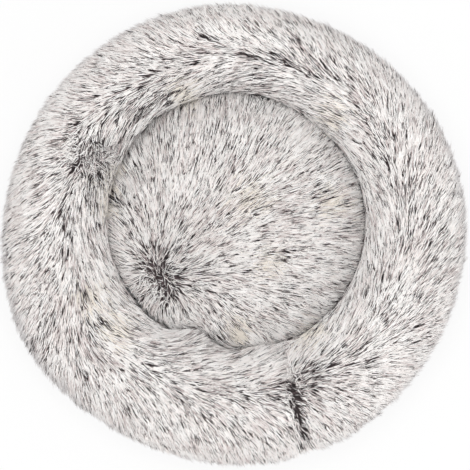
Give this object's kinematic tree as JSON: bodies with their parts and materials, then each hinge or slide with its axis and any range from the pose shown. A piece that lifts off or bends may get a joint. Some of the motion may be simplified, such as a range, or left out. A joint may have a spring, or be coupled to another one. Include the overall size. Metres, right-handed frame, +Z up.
{
  "type": "cat bed",
  "caption": "Round donut-shaped cat bed: stuffed long-pile plush ring round a sunken plush cushion, on a padded non-slip base with a zip.",
  "frame": {"origin": "middle of the base, at the flat bottoms of the grip dots, which is the floor", "axes": "+Z up; +Y towards the top of the picture, where the ring is narrowest; +X to the picture's right, where the closed zip's slider is"},
  "size_m": [0.5955, 0.5887, 0.168],
  "materials": {
    "plush": "long-pile plush, pale tips over dark roots",
    "filling": "matte",
    "seam": "matte",
    "lining": "matte",
    "binding": "matte",
    "base_cloth": "matte",
    "zip_tape": "matte",
    "zip_teeth": "satin",
    "metal": "satin"
  },
  "bodies": {
    "bed": {"bolster_cover": "plush", "bolster_filling": "filling", "closing_seam": "seam", "cushion_cover": "plush", "cushion_filling": "filling", "nest_seam": "seam", "lining_wall": "lining", "base_lining": "lining", "rim_binding": "binding", "base_panel_front": "base_cloth", "base_panel_back": "base_cloth", "zip_tape_front": "zip_tape", "zip_tape_back": "zip_tape", "zip_teeth_front": "zip_teeth", "zip_teeth_back": "zip_teeth", "zip_top_stop_front": "metal", "zip_top_stop_back": "metal", "zip_bottom_stop": "metal"},
    "slider": {"zip_slider": "metal"},
    "pull": {"zip_pull": "metal"}
  },
  "joints": [
    {"name": "zip_slide", "type": "slide", "parent": "bed", "child": "slider", "axis": [-1, 0, 0], "range_m": [0, 0.4324], "deforming": ["zip_teeth_front", "zip_teeth_back"]},
    {"name": "pull_swing", "type": "hinge", "parent": "slider", "child": "pull", "pos_m": [0.2162, 0, 0.0048], "axis": [0, -1, 0], "range_deg": [0, 170]}
  ]
}
